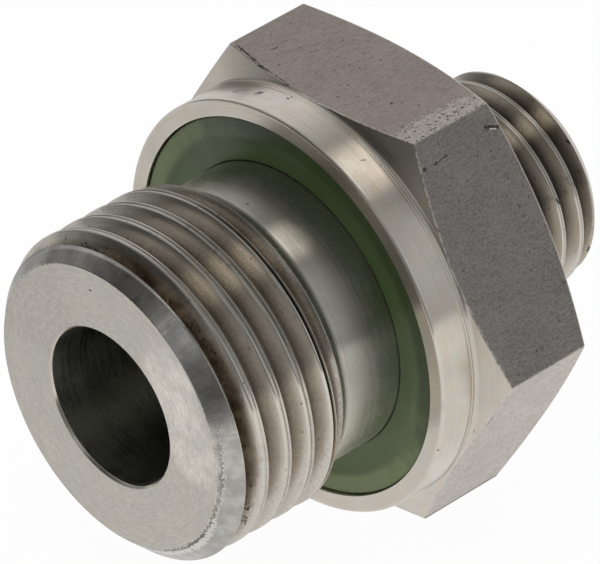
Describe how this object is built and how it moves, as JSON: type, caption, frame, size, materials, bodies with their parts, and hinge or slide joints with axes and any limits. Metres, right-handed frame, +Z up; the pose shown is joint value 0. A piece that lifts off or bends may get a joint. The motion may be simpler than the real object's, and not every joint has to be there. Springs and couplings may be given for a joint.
{
  "type": "male stud coupling",
  "caption": "Straight steel stud coupling: parallel pipe thread with a ring seal in its collar, hexagon, and a threaded cone end for metal tube.",
  "frame": {"origin": "on the ground under the middle of the part's length, below the bore axis", "axes": "+Y along the bore axis from the stud end to the tube end, +Z up, square to the hexagon's upper flat"},
  "size_m": [0.0312, 0.0338, 0.027],
  "materials": {
    "turned_steel": "turned stainless steel with fine tool marks, hexagon flats as drawn",
    "seal_rubber": "moulded, satin, dull green"
  },
  "bodies": {
    "root": {"coupling_body": "turned_steel", "sealing_ring": "seal_rubber"}
  },
  "joints": []
}
